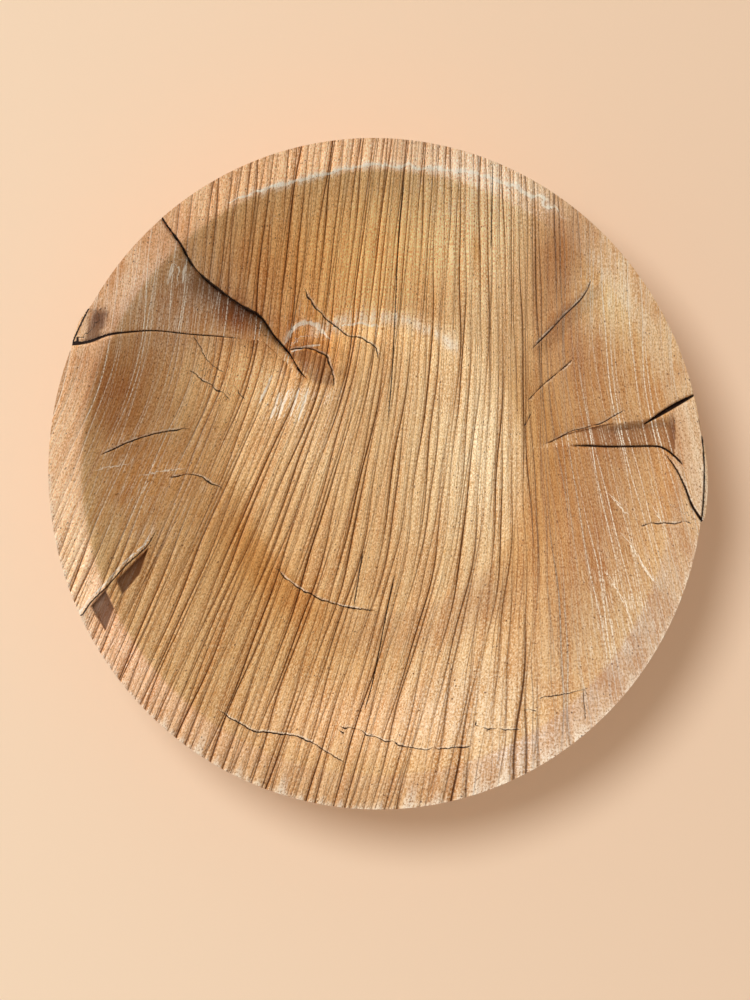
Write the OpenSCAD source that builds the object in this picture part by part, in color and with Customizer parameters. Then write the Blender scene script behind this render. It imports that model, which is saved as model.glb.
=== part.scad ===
// Palm leaf bowl: one piece, pressed hot from a wet leaf sheath. Millimetres, +Z up.
// The origin is on the table under the middle of the rim, and +Y points to the far side of the bowl.
// A place on the bowl is [angle, reach]: the angle round the bowl, and how far out it lies,
// with reach 0 at the edge of the floor and 1 at the rim. Places keep to the form when sizes change.

/* [Rim] */
// Mean diameter over the rim
rim_d = 180; // [165:1:210]
// Length of the rim along its long axis over its width
rim_stretch = 1.026; // [1:0.002:1.05]
// Direction of the long axis, anticlockwise from +X
stretch_dir = 99; // [0:1:180]
// Height of the rim's top edge above the table
height = 42; // [36:0.5:50]

/* [Lip] */
// Width of the flatter lip that runs round the rim
lip_w = 8.6; // [6:0.2:12]
// Slope of the lip above level
lip_deg = 18; // [8:1:28]
// Width of the soft bend between the wall and the lip
lip_bend = 4.4; // [2:0.2:6]

/* [Floor] */
// Diameter of the flat floor
floor_d = 80; // [66:1:92]
// How far the floor's middle lies to the right of the rim's
floor_right = 2.4; // [0:0.1:5]
// How far the floor's middle lies behind the rim's
floor_back = 2.4; // [0:0.1:5]
// Width of the soft bend between the floor and the wall
floor_bend = 8; // [4:0.5:12]

/* [Sheet] */
// Thickness of the pressed leaf sheath
sheet_t = 1.6; // [1.3:0.1:2.2]

/* [Grain] */
// Number of ribs that the leaf's fibres raise across the bowl
rib_count = 82; // [60:1:90]
// Depth of the furrows between the ribs
rib_h = 0.45; // [0.2:0.05:0.7]

/* [Folds] */
// Depth of the large fold at the upper left, where its top layer stands off
left_fold_depth = 4; // [2:0.2:5]
// Depth of the fold at the right
right_fold_depth = 2.6; // [1.4:0.2:3.4]
// Depth of the two gaps in the small fold at the lower left
small_fold_depth = 2.2; // [1:0.2:3]
// Thickness of the free edges that lap over a fold
flap_t = 1.1; // [0.8:0.1:1.4]
// Length of a lap, from its free edge to where it joins the sheet
flap_reach = 6; // [4:0.5:8]
// How far a torn under layer shows past the rim
under_layer = 1.2; // [0.6:0.1:2]
// Widest gap of the tear in the lip at the right
tear_w = 1; // [0.6:0.1:1.6]

/* [Hidden] */
LEAF = [0.72, 0.53, 0.33];

rim_r = rim_d / 2;
floor_r = floor_d / 2;
lip_r = rim_r - lip_w;
wall_w = rim_r - floor_r;
lip_slope = tan(lip_deg);
wall_slope = (height - sheet_t - lip_slope * lip_w) / (lip_r - floor_r);
floor_mid = [floor_right, floor_back];

// Soft step from 0 to 1, and a soft hump that is 1 at its middle.
function step01(t) = let (c = min(1, max(0, t))) c * c * (3 - 2 * c);
function hump(t) = step01(1 - abs(t));
// Height gained past a bend of width w in the middle of which a slope of 1 begins.
function bend_rise(d, w) = d < -w / 2 ? 0 : d > w / 2 ? d : pow(d + w / 2, 2) / (2 * w);

// The round bowl, stretched along one axis.
long_r = sqrt(rim_stretch);
function stretch(p, k) =
    let (c = cos(stretch_dir), s = sin(stretch_dir), a = (p.x * c + p.y * s) * k, b = (p.y * c - p.x * s) / k)
    [a * c - b * s, a * s + b * c];
function reach_of(r) = (r - floor_r) / wall_w;
function mid_at(reach) = floor_mid * (1 - min(1, max(0, reach)));
function place(angle, reach) =
    mid_at(reach) + stretch((floor_r + reach * wall_w) * [cos(angle), sin(angle)], long_r);

// The reverse: radius and angle of a point of the plan, found by settling on the shifted middle.
function round_point(p, reach = 0.5, n = 5) =
    let (q = stretch(p - mid_at(reach), 1 / long_r)) n == 0 ? q : round_point(p, reach_of(norm(q)), n - 1);
function radius_at(p) = norm(round_point(p));

// The plain pressed form, without ribs or folds.
function form_z(r) =
    sheet_t + wall_slope * bend_rise(r - floor_r, floor_bend)
    - (wall_slope - lip_slope) * bend_rise(r - lip_r, lip_bend);
function form_slope(r) =
    wall_slope * step01((r - floor_r) / floor_bend + 0.5)
    - (wall_slope - lip_slope) * step01((r - lip_r) / lip_bend + 0.5);
function form_point(angle, reach, up = 0) =
    let (p = place(angle, reach)) [p.x, p.y, form_z(floor_r + reach * wall_w) + up];

// Fibres: nearly parallel in the far half, fanning out to the near left below the bend.
grain_ref_y = -0.14 * rim_r;
far_bend_y = 0.3 * rim_r;
near_bend_y = -0.26 * rim_r;
grain_bend_w = 24;
far_lean_max = -0.13;
far_lean_gain = 0.16;
fan_lean_max = -0.42;
fan_left_gain = 0.3;
fan_right_gain = 0.35;
near_lean = -0.18;
function ramp(u, from, to) = step01((u / rim_r - from) / (to - from));
function far_lean(u) = far_lean_max + far_lean_gain * ramp(u, -0.26, 0.43);
function fan_lean(u) = fan_lean_max + fan_left_gain * ramp(u, -0.44, 0.14) + fan_right_gain * ramp(u, 0.19, 0.8);
function near_bend(u) = near_lean * hump((u / rim_r - 0.16) / 0.6);
function lean_run(u, y) =
    far_lean(u) * (far_bend_y - y) + (fan_lean(u) - far_lean(u)) * bend_rise(far_bend_y - y, grain_bend_w)
    + near_bend(u) * bend_rise(near_bend_y - y, grain_bend_w);
function fibre_x(u, y) = u + lean_run(u, y) - lean_run(u, grain_ref_y);

// Fold edges, as places from the rim inward. Each fold dips from a deep edge to a shallow one.
left_deep = [[130.4, 1.0], [131.5, 0.82], [132.7, 0.71], [132.3, 0.49], [129.5, 0.26], [130.4, 0.15], [132.5, -0.12]];
left_shallow = [[157.3, 1.0], [153.6, 0.85], [148.6, 0.64], [145.1, 0.47], [137.6, 0.23], [134.5, 0.14]];
right_deep = [[14.4, 0.72], [14.2, 0.63], [11.6, 0.44], [10.5, 0.22], [7.4, 0.07]];
right_shallow = [[2.6, 0.85], [4.8, 0.78], [5.3, 0.73], [5.8, 0.46], [6.6, 0.22]];
lip_piece = [[-7.6, 0.985], [-5.4, 0.94], [-2.7, 0.9], [0.5, 0.86], [4, 0.83], [8, 0.85], [12, 0.87]];
small_edge = [[-154.5, 0.99], [-157, 0.85], [-160, 0.7], [-162, 0.58], [-165, 0.5]];
outer_gap = [[-155.5, 0.87], [-151.5, 0.9]];
inner_gap = [[-160.5, 0.58], [-156.5, 0.74]];
tear = [[10, 0.69], [12.4, 0.86], [14, 1.02]];

// A curve through the places of a line, with that many steps between two of them.
function curve_at(a, b, c, d, t) =
    0.5 * (2 * b + (c - a) * t + (2 * a - 5 * b + 4 * c - d) * t * t + (3 * b - a - 3 * c + d) * t * t * t);
function curve(line, steps) =
    let (last = len(line) - 1)
    [
        for (i = [0:last - 1], k = [0:steps - 1])
            curve_at(line[max(0, i - 1)], line[i], line[i + 1], line[min(last, i + 2)], k / steps),
        line[last]
    ];

function angle_on(edge, reach) = lookup(reach, [for (e = edge) [e[1], e[0]]]);
function rad_gap(deg, r) = abs(deg) * PI / 180 * r;
under_flap = 0.6;
fold_curve = 1.4;
function fold_dip(angle, reach, deep, shallow, depth, lap) =
    let (
        r = floor_r + reach * wall_w,
        from = angle_on(deep, reach),
        to = angle_on(shallow, reach),
        t = (angle - from) / (to - from),
        past = rad_gap(t < 0 ? angle - from : angle - to, r) / (flap_reach * under_flap)
    )
    t < 0 ? (depth + lap) * (1 - step01(past)) : t < 1 ? depth * pow(1 - t, fold_curve) + lap : lap * (1 - step01(past));

// Distance from a point of the plan to the line between two places.
function line_gap(p, a, b) =
    let (
        pa = place(a[0], a[1]),
        pb = place(b[0], b[1]),
        t = min(1, max(0, (p - pa) * (pb - pa) / ((pb - pa) * (pb - pa))))
    )
    norm(p - pa - t * (pb - pa));
function near_line(p, line, half_w) =
    let (gaps = [for (i = [0:len(line) - 2]) line_gap(p, line[i], line[i + 1])]) 1 - step01(min(gaps) / half_w);

// Soft creases that the press left: [line of places, share of the half width, share of the rise].
crease_half_w = 3.5;
crease_h = 0.8;
creases = [
    [[[131, 0.06], [127, 0.04], [121, 0.02], [116, -0.07], [115, -0.2]], 1.1, 1.4],
    [[[114, 0.28], [112, 0.08], [105, -0.05], [94, -0.1], [92, -0.25]], 0.9, 0.9],
    [[[177, 0.76], [174, 0.6], [169, 0.28]], 1, 0.9],
    [[[-177.5, 0.43], [-177.5, 0.28], [-173, 0.14]], 1, 0.9],
    [[[41.5, 0.8], [39.5, 0.6], [37.5, 0.2]], 1.1, 1],
    [[[-127, 0.79], [-115, 0.76], [-104, 0.72], [-92, 0.79], [-80, 0.78]], 1, 0.7],
];
function crease_rise(p) =
    crease_h * ([for (c = creases) near_line(p, c[0], c[1] * crease_half_w) * c[2]] * [for (c = creases) 1]);

// Where each fold is open: [first place, width over which it opens], in reach and in degrees round the bowl.
left_mid = [0.46, 0.66];
left_from = [-0.12, 0.24];
left_angles = [[110, 12], [172, 8]];
right_mid = [0.6, 0.55];
right_from = [0.04, 0.15];
right_to = [0.9, 0.16];
right_angles = [[-8, 8], [24, 6]];
function opens(t, from) = step01((t - from[0]) / from[1]);
function shuts(t, to) = step01((to[0] - t) / to[1]);
gap_half_w = 3.4;
lap_h = 0.9;
function dips(p, angle, reach) =
    let (
        left_depth = left_fold_depth * hump((reach - left_mid[0]) / left_mid[1]),
        right_depth = right_fold_depth * hump((reach - right_mid[0]) / right_mid[1])
    )
    fold_dip(angle, reach, left_deep, left_shallow, left_depth, lap_h)
        * opens(reach, left_from) * opens(angle, left_angles[0]) * shuts(angle, left_angles[1])
    + fold_dip(angle, reach, right_deep, right_shallow, right_depth, lap_h)
        * opens(reach, right_from) * shuts(reach, right_to) * opens(angle, right_angles[0])
        * shuts(angle, right_angles[1])
    + small_fold_depth * max(near_line(p, outer_gap, gap_half_w), near_line(p, inner_gap, gap_half_w));

// Ribs fade towards the smooth left and right walls and in the folds, but not at the near left.
side_fade = 0.85;
side_from = [0.42, 0.3];
near_from = [0.05, 0.25];
near_to = [0.55, 0.3];
function rib_share(p, dip) =
    let (near_left = opens(-p.y / rim_r, near_from) * shuts(p.x / rim_r, near_to))
    (1 - side_fade * opens(abs(p.x) / rim_r, side_from) * (1 - near_left)) * (1 - step01(dip / lap_h));

function inner_z(p, furrow) =
    let (q = round_point(p), angle = atan2(q.y, q.x), reach = reach_of(norm(q)), dip = dips(p, angle, reach))
    form_z(norm(q)) - dip + crease_rise(p) * step01((1 - reach) / 0.1) - rib_h * furrow * rib_share(p, dip);

// The outside keeps about the sheet's thickness below the inside, and its floor is flat on the table.
outer_share = 0.8;
function outer_z(p) =
    let (q = round_point(p), r = norm(q), angle = atan2(q.y, q.x), reach = reach_of(r), m = form_slope(r))
    max(0, form_z(r) - sheet_t * sqrt(1 + m * m) - outer_share * dips(p, angle, reach));

// Radii at which a fibre gets a point, from the rim inward to the middle of the floor.
levels = [
    rim_r, rim_r - lip_w / 2, lip_r + lip_bend / 2, lip_r, lip_r - lip_bend / 2,
    lip_r - 0.22 * wall_w, floor_r + 0.42 * wall_w, floor_r + 0.22 * wall_w,
    floor_r + floor_bend / 2, floor_r, floor_r - floor_bend / 2, 0.66 * floor_r, 0.33 * floor_r
];
level_room = 1.1;

// Nearest point of a fibre to the middle, and the places where it crosses a level.
function fibre_r(u, y) = radius_at([fibre_x(u, y), y]);
function nearest_y(u, lo, hi, n = 26) =
    let (a = lo + (hi - lo) * 0.4, b = lo + (hi - lo) * 0.6)
    n == 0 ? (lo + hi) / 2 : fibre_r(u, a) < fibre_r(u, b) ? nearest_y(u, lo, b, n - 1) : nearest_y(u, a, hi, n - 1);
function cross_y(u, inside, outside, r, n = 22) =
    let (m = (inside + outside) / 2)
    n == 0 ? m : fibre_r(u, m) < r ? cross_y(u, m, outside, r, n - 1) : cross_y(u, inside, m, r, n - 1);
function edge_u(inside, outside, n = 24) =
    let (m = (inside + outside) / 2, r = fibre_r(m, nearest_y(m, -rim_r, rim_r)))
    n == 0 ? m : r < rim_r ? edge_u(m, outside, n - 1) : edge_u(inside, m, n - 1);

columns = 2 * rib_count;
u_left = edge_u(0, -1.6 * rim_r);
u_right = edge_u(0, 1.6 * rim_r);
function column_u(i) = (u_left + u_right) / 2 - (u_right - u_left) / 2 * cos(180 * i / columns);

// One fibre from the far rim to the near one: [point, key], the key running from -1 to 1 by level.
// Long stretches on the wall are filled with more points, most of all across a fold.
wall_gap = 9.5;
fold_gap = 5;
beyond = 1.3 * rim_r;
function is_tip(i) = i == 0 || i == columns;
function column_y(i) = nearest_y(column_u(i), -rim_r, rim_r);
function level_count(i) =
    let (r = fibre_r(column_u(i), column_y(i)))
    is_tip(i) ? 0 : max(1, len([for (l = levels) if (l > r + level_room) 1]));
function level_key(k) = k / len(levels) - 1;
function dip_at(p) = let (q = round_point(p)) dips(p, atan2(q.y, q.x), reach_of(norm(q)));
function fill(u, a, b) =
    let (
        mid = (a[0] + b[0]) / 2,
        dip = max([for (y = [a[0], mid, b[0]]) dip_at([fibre_x(u, y), y])]),
        gap = dip > lap_h / 2 ? fold_gap : wall_gap,
        n = fibre_r(u, mid) < floor_r ? 1 : ceil(abs(b[0] - a[0]) / gap)
    )
    [for (k = [0:n - 1]) a + (b - a) * k / n];
function fibre_points(i) =
    let (
        u = column_u(i),
        y0 = column_y(i),
        n = level_count(i),
        far = [for (k = [0:1:n - 1]) [cross_y(u, y0, beyond, levels[k]), level_key(k)]],
        near = [for (k = [n - 1:-1:0]) [cross_y(u, y0, -beyond, levels[k]), -level_key(k)]],
        row = concat(far, [[y0, 0]], near),
        filled = [for (j = [0:1:len(row) - 2]) each fill(u, row[j], row[j + 1])]
    )
    [for (e = concat(filled, [row[len(row) - 1]]))
        let (p = [fibre_x(u, e[0]), e[0]]) [[p.x, p.y, inner_z(p, is_tip(i) ? 0 : i % 2)], e[1]]];
fibres = [for (i = [0:columns]) fibre_points(i)];

// Joins two rows of [point, key] with triangles, each stretch of one to the nearest point of the other.
function sums(v, i = 0, s = 0, out = []) = i == len(v) ? out : sums(v, i + 1, s + v[i], concat(out, [s]));
function below(keys, x) = len([for (k = keys) if (k < x) 1]);
function zip_rows(ka, kb, a0, b0, na, nb) =
    let (
        ma = [for (i = [0:1:len(ka) - 2]) (ka[i] + ka[i + 1]) / 2],
        mb = [for (i = [0:1:len(kb) - 2]) (kb[i] + kb[i + 1]) / 2 + 1e-9]
    )
    concat(
        [for (i = [0:1:len(ma) - 1]) [a0 + (i + 1) % na, a0 + i, b0 + below(mb, ma[i]) % nb]],
        [for (j = [0:1:len(mb) - 1]) [b0 + j, b0 + (j + 1) % nb, a0 + below(ma, mb[j]) % na]]
    );
function keys_of(row) = [for (e = row) e[1]];
function points_of(row) = [for (e = row) e[0]];

// Keys of a fibre for joining it to its neighbour: inside the last level that both reach, they go by length.
near_key = 1e-6;
function y_at(row, key) = [for (e = row) if (abs(e[1] - key) < near_key) e[0].y][0];
function pair_keys(row, n) =
    let (last = level_key(n - 1), mid = y_at(row, 0), far = y_at(row, last), near = y_at(row, -last))
    n == 0 ? keys_of(row) : [
        for (e = row)
            abs(e[1]) > -last - near_key ? e[1]
            : e[1] < 0 ? last * (e[0].y - mid) / (far - mid) : last * (e[0].y - mid) / (mid - near)
    ];

// Rings of the outside, from the rim's lower edge inward, each going clockwise from the left tip.
rim_up = concat(
    [for (i = [0:columns - 1]) fibres[i][0][0]],
    [for (i = [columns:-1:1]) fibres[i][len(fibres[i]) - 1][0]]
);
rim_angles = [for (p = rim_up) let (q = round_point([p.x, p.y])) atan2(q.y, q.x)];
tip_angle = rim_angles[0];
function turn(a) = let (d = tip_angle - a) (d - 360 * floor(d / 360 + 1e-9)) / 360;
rim_keys = [for (a = rim_angles) turn(a)];
function drop(p) = [p.x, p.y, outer_z([p.x, p.y])];
function close(row) = concat(row, [[row[0][0], 1]]);
function ring(r, n) =
    [for (j = [0:n - 1]) let (p = place(tip_angle - 360 * j / n, reach_of(r))) [drop(p), j / n]];
ring_n = 88;
rings = concat(
    [[for (i = [0:len(rim_up) - 1]) [drop(rim_up[i]), rim_keys[i]]], ring(lip_r + lip_bend / 2, 2 * ring_n)],
    [for (r = [lip_r - lip_bend / 2, lip_r - 0.2 * wall_w, floor_r + 0.45 * wall_w, floor_r + 0.22 * wall_w,
        floor_r + floor_bend / 2, floor_r, floor_r - floor_bend / 2]) ring(r, ring_n)]
);

module sheet() {
    starts = sums([for (f = fibres) len(f)]);
    top_n = starts[columns] + 1;
    ring_starts = [for (s = sums([for (r = rings) len(r)])) top_n + s];
    rim_top = concat(
        [for (i = [0:columns - 1]) starts[i]],
        [for (i = [columns:-1:1]) starts[i] + len(fibres[i]) - 1]
    );
    rim_n = len(rim_top);
    points = concat([for (f = fibres) each points_of(f)], [for (r = rings) each points_of(r)]);
    counts = [for (i = [0:columns]) level_count(i)];
    top_faces = [for (i = [0:columns - 1]) let (a = fibres[i], b = fibres[i + 1], n = min(counts[i], counts[i + 1])) each
        zip_rows(pair_keys(a, n), pair_keys(b, n), starts[i], starts[i + 1], len(a), len(b))];
    edge_faces = [for (i = [0:rim_n - 1]) let (j = (i + 1) % rim_n, b = ring_starts[0]) each
        [[rim_top[j], rim_top[i], b + i], [rim_top[j], b + i, b + j]]];
    ring_faces = [for (k = [0:len(rings) - 2]) let (a = rings[k], b = rings[k + 1]) each
        zip_rows(keys_of(close(a)), keys_of(close(b)), ring_starts[k], ring_starts[k + 1], len(a), len(b))];
    last = len(rings) - 1;
    foot = [for (j = [len(rings[last]) - 1:-1:0]) ring_starts[last] + j];
    polyhedron(points = points, faces = concat(top_faces, edge_faces, ring_faces, [foot]));
}

// One link of a lap or a layer: the hull of two cross-sections of four points each.
module link(a, b) {
    hull() polyhedron(points = concat(a, b),
        faces = [[0, 1, 2, 3], [7, 6, 5, 4], [1, 0, 4, 5], [2, 1, 5, 6], [3, 2, 6, 7], [0, 3, 7, 4]]);
}
module chain(sections) {
    for (i = [0:len(sections) - 2]) link(sections[i], sections[i + 1]);
}

// A lap runs along a fold's edge. Its free edge stands at the sheet's own level over the fold, raised by lift,
// and its back lies in the sheet. Side is 1 for a lap that lies clockwise of its edge, -1 for the other side.
bury = 0.25;
function lap_section(e, side, reach, lift) =
    let (
        r = floor_r + e[1] * wall_w,
        back = [e[0] - side * reach / r * 180 / PI, e[1]],
        up = lift * (1 - e[1] / 4)
    )
    [
        form_point(e[0], e[1], up), form_point(e[0], e[1], up - flap_t),
        form_point(back[0], back[1], -flap_t - bury), form_point(back[0], back[1], -rib_h - bury)
    ];
lap_steps = 3;
module lap(edge, side, reach, lift) {
    chain([for (e = curve(edge, lap_steps)) lap_section(e, side, reach, lift)]);
}

// The bright piece of lip that lies over the fold at the right, from its inner edge out to the rim.
lip_piece_up = 0.7;
function lip_section(e) = [
    form_point(e[0], e[1], lip_piece_up), form_point(e[0], e[1], -sheet_t / 2),
    form_point(e[0], 1, -sheet_t / 2), form_point(e[0], 1, lip_piece_up / 2)
];

// A torn under layer shows past the rim as a thin blade, widest in its middle.
layer_drop = 0.5;
layer_least = 0.05;
layer_in = 0.1;
right_layer_deg = [-7.6, 9.8];
left_layer_deg = [150, 158];
function layer_section(angle, proud) =
    let (out = 1 + proud / wall_w, under = -sheet_t - layer_drop)
    [
        form_point(angle, out, -layer_drop), form_point(angle, out, under),
        form_point(angle, 1 - layer_in, under), form_point(angle, 1 - layer_in, -layer_drop)
    ];
module layer(deg, n) {
    chain([for (i = [0:n])
        layer_section(deg[0] + (deg[1] - deg[0]) * i / n, layer_least + under_layer * sin(180 * i / n))]);
}

// The tear in the lip at the right, a blade that is thickest in its middle.
tear_least = 0.08;
tear_tall = 4;
module tear_cut() {
    half = [tear_least, tear_w / 2, tear_w / 5];
    up = [0, 0, tear_tall];
    chain([for (i = [0:len(tear) - 1])
        let (p = form_point(tear[i][0], tear[i][1]), across = half[i] * [-0.5, 1, 0])
        [p + across + up, p + across - up, p - across - up, p - across + up]
    ]);
}

// Free edges and the bridge of the small fold at the lower left.
bridge = [[-158, 0.79], [-155.5, 0.83], [-152, 0.86]];
bridge_w = 2.8;
bridge_t = 2.9;
bridge_up = 0.3;
module small_fold() {
    lap(small_edge, 1, flap_reach * 0.75, 0.5);
    across = bridge_w / 2 * [-0.83, 0.55, 0];
    top = [0, 0, bridge_up];
    low = [0, 0, bridge_up - bridge_t];
    chain([for (e = bridge) let (p = form_point(e[0], e[1]))
        [p + across + top, p + across + low, p - across + low, p - across + top]
    ]);
}

module bowl() {
    color(LEAF) difference() {
        union() {
            sheet();
            lap(left_deep, 1, flap_reach, 0.5);
            lap(left_shallow, -1, flap_reach, 0.2);
            lap(right_deep, -1, flap_reach * 0.7, 0.3);
            lap(right_shallow, 1, flap_reach * 0.7, 0.2);
            chain([for (e = lip_piece) lip_section(e)]);
            layer(right_layer_deg, 8);
            layer(left_layer_deg, 6);
            small_fold();
        }
        tear_cut();
    }
}

bowl();
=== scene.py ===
"""A palm leaf bowl pressed from a leaf sheath, as a finely ribbed and folded shell over its solid.

Lengths are in millimetres until a mesh is made. A place on the bowl is (angle, reach): the angle round
it in degrees, anticlockwise from +X, and how far out it lies, with reach 0 at the floor's edge and 1 at
the rim.
"""
import math

import bpy
import numpy as np
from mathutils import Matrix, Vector


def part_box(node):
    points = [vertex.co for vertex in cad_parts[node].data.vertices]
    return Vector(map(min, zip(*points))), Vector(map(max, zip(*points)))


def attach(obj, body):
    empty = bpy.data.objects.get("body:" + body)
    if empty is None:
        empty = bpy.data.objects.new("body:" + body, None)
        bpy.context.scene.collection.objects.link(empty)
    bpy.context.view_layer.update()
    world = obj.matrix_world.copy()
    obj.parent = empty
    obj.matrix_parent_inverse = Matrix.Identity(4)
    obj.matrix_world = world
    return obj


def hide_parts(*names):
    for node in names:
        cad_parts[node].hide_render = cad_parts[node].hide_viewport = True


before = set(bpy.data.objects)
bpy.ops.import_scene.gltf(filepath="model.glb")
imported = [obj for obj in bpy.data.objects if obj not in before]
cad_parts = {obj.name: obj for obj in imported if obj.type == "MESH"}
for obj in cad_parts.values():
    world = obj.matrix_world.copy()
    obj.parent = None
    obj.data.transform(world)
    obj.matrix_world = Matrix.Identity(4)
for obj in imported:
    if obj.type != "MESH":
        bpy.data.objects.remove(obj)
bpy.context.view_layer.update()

# Driving sizes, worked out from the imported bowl.
MM = 0.001
LOW, HIGH = [np.array(corner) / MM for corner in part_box("bowl")]
RIM_STRETCH = 1.026
STRETCH_DIR = math.radians(99)
LONG = math.sqrt(RIM_STRETCH)
RIM_R = (HIGH[1] - LOW[1]) / 2 / 1.0123
LAP_RISE = 0.46
HEIGHT = HIGH[2] - LAP_RISE
FLOOR_R = RIM_R * 40 / 90
FLOOR_MID = RIM_R * np.array([2.4, 2.4]) / 90
LIP_W, LIP_BEND, FLOOR_BEND = 8.6, 4.4, 8.0
LIP_R = RIM_R - LIP_W
WALL_W = RIM_R - FLOOR_R
SHEET_T = 1.6
LIP_SLOPE = math.tan(math.radians(18))
WALL_SLOPE = (HEIGHT - SHEET_T - LIP_SLOPE * LIP_W) / (LIP_R - FLOOR_R)


def step01(t):
    """Soft step from 0 to 1."""
    c = np.clip(t, 0, 1)
    return c * c * (3 - 2 * c)


def hump(t):
    """Soft hump, 1 at its middle and 0 past a distance of 1."""
    return step01(1 - np.abs(t))


def bell(d, width):
    """Bell curve of that half width."""
    return np.exp(-((d / width) ** 2))


def bend_rise(d, w):
    """Height gained past a bend of width w, in the middle of which a slope of 1 begins."""
    return np.where(d < -w / 2, 0, np.where(d > w / 2, d, (d + w / 2) ** 2 / (2 * w)))


class Field:
    """Smooth random field over a plane: seeded values on a lattice, blended between its points."""

    def __init__(self, seed, size=128):
        self.size = size
        self.values = np.random.default_rng(seed).random((size, size)) * 2 - 1

    def __call__(self, x, y):
        i, j = np.floor(x).astype(int), np.floor(y).astype(int)
        a, b = step01(x - i), step01(y - j)
        n, v = self.size, self.values
        i0, j0, i1, j1 = i % n, j % n, (i + 1) % n, (j + 1) % n
        low = v[i0, j0] * (1 - a) + v[i1, j0] * a
        high = v[i0, j1] * (1 - a) + v[i1, j1] * a
        return low * (1 - b) + high * b


# The round form, its stretch along one axis, and the way back from a point of the plan.
def stretch(x, y, k):
    c, s = math.cos(STRETCH_DIR), math.sin(STRETCH_DIR)
    a, b = (x * c + y * s) * k, (y * c - x * s) / k
    return a * c - b * s, a * s + b * c


def place(angle, reach):
    """Plan point of a place on the bowl."""
    r = FLOOR_R + reach * WALL_W
    x, y = stretch(r * np.cos(np.radians(angle)), r * np.sin(np.radians(angle)), LONG)
    inner = 1 - np.clip(reach, 0, 1)
    return x + FLOOR_MID[0] * inner, y + FLOOR_MID[1] * inner


def place_of(x, y):
    """Angle in degrees and reach of plan points, found by settling on the shifted middle."""
    reach = np.full(np.shape(x), 0.5)
    for _ in range(7):
        inner = 1 - np.clip(reach, 0, 1)
        a, b = stretch(x - FLOOR_MID[0] * inner, y - FLOOR_MID[1] * inner, 1 / LONG)
        reach = (np.hypot(a, b) - FLOOR_R) / WALL_W
    return np.degrees(np.arctan2(b, a)), reach


def form_z(r):
    return (SHEET_T + WALL_SLOPE * bend_rise(r - FLOOR_R, FLOOR_BEND)
            - (WALL_SLOPE - LIP_SLOPE) * bend_rise(r - LIP_R, LIP_BEND))


def form_slope(r):
    return (WALL_SLOPE * step01((r - FLOOR_R) / FLOOR_BEND + 0.5)
            - (WALL_SLOPE - LIP_SLOPE) * step01((r - LIP_R) / LIP_BEND + 0.5))


# The leaf's fibres: nearly parallel in the far half, fanning out to the near left below the bend.
GRAIN_REF_Y, FAR_BEND_Y, NEAR_BEND_Y, GRAIN_BEND_W = -0.14 * RIM_R, 0.3 * RIM_R, -0.26 * RIM_R, 24.0


def ramp(u, start, end):
    return step01((u / RIM_R - start) / (end - start))


def lean_run(u, y):
    far_lean = -0.13 + 0.16 * ramp(u, -0.26, 0.43)
    fan_lean = -0.42 + 0.3 * ramp(u, -0.44, 0.14) + 0.35 * ramp(u, 0.19, 0.8)
    near_bend = -0.18 * hump((u / RIM_R - 0.16) / 0.6)
    return (far_lean * (FAR_BEND_Y - y) + (fan_lean - far_lean) * bend_rise(FAR_BEND_Y - y, GRAIN_BEND_W)
            + near_bend * bend_rise(NEAR_BEND_Y - y, GRAIN_BEND_W))


def fibre_x(u, y):
    return u + lean_run(u, y) - lean_run(u, GRAIN_REF_Y)


def fibre_of(x, y):
    """Which fibre passes a plan point, by the place where it crosses the reference line."""
    u = x.copy()
    for _ in range(12):
        slope = np.clip((fibre_x(u + 0.5, y) - fibre_x(u - 0.5, y)), 0.4, 4)
        u = u - (fibre_x(u, y) - x) / slope
    return u


# Lines on the bowl, as places: edges of the folds from the rim inward, then creases and cracks.
LEFT_DEEP = [(130.4, 1.03), (130.8, 0.96), (131.5, 0.82), (132.7, 0.71), (132.9, 0.61), (132.3, 0.49),
             (131.1, 0.36),
             (129.5, 0.26), (130.4, 0.15), (131.0, 0.01), (132.5, -0.10), (132.5, -0.19)]
LEFT_SHALLOW = [(158.0, 1.03), (156.2, 0.93), (153.6, 0.85), (151.2, 0.75), (148.6, 0.64), (145.1, 0.47),
                (141.0, 0.33), (137.6, 0.23), (134.5, 0.16)]
RIGHT_DEEP = [(11.4, 0.88), (11.3, 0.72), (11.2, 0.54), (11.1, 0.44), (10.8, 0.34), (10.2, 0.24), (8.9, 0.17),
              (7.4, 0.09)]
POCKET = [(131.0, 0.02), (124.0, -0.03), (118.8, -0.13), (123.0, -0.28), (131.5, -0.20)]
RIGHT_SHALLOW = [(1.8, 0.88), (3.5, 0.83), (4.8, 0.78), (5.3, 0.73), (5.5, 0.61), (5.8, 0.46), (6.3, 0.36),
                 (6.6, 0.26)]
LIP_EDGE = [(3.1, 0.80), (0.5, 0.85), (-2.7, 0.90), (-5.4, 0.94), (-7.6, 1.0)]
LIP_INNER = [(4.4, 0.84), (11.2, 0.87)]
TEAR = [(10.0, 0.69), (12.4, 0.86), (14.0, 1.03)]
SMALL_EDGE = [(-155.0, 0.99), (-156.4, 0.92), (-157.7, 0.82), (-160.0, 0.70), (-161.5, 0.61), (-162.8, 0.55),
              (-167.2, 0.46)]
OUTER_HOLE = [(-157.0, 0.83), (-155.4, 0.93), (-150.3, 0.92), (-153.1, 0.83)]
INNER_HOLE = [(-161.7, 0.55), (-157.8, 0.76), (-154.7, 0.76), (-157.0, 0.64)]
CORNER = [(150.9, 0.98), (149.6, 0.91), (155.4, 0.88), (156.7, 0.95)]
UPPER_FOLD = [(37.7, 0.23), (38.5, 0.38), (39.3, 0.52), (39.8, 0.67), (41.6, 0.79)]
BULGE = [(131.0, 0.06), (124.8, 0.10), (119.3, 0.10), (115.0, 0.04), (114.0, -0.06)]
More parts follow.
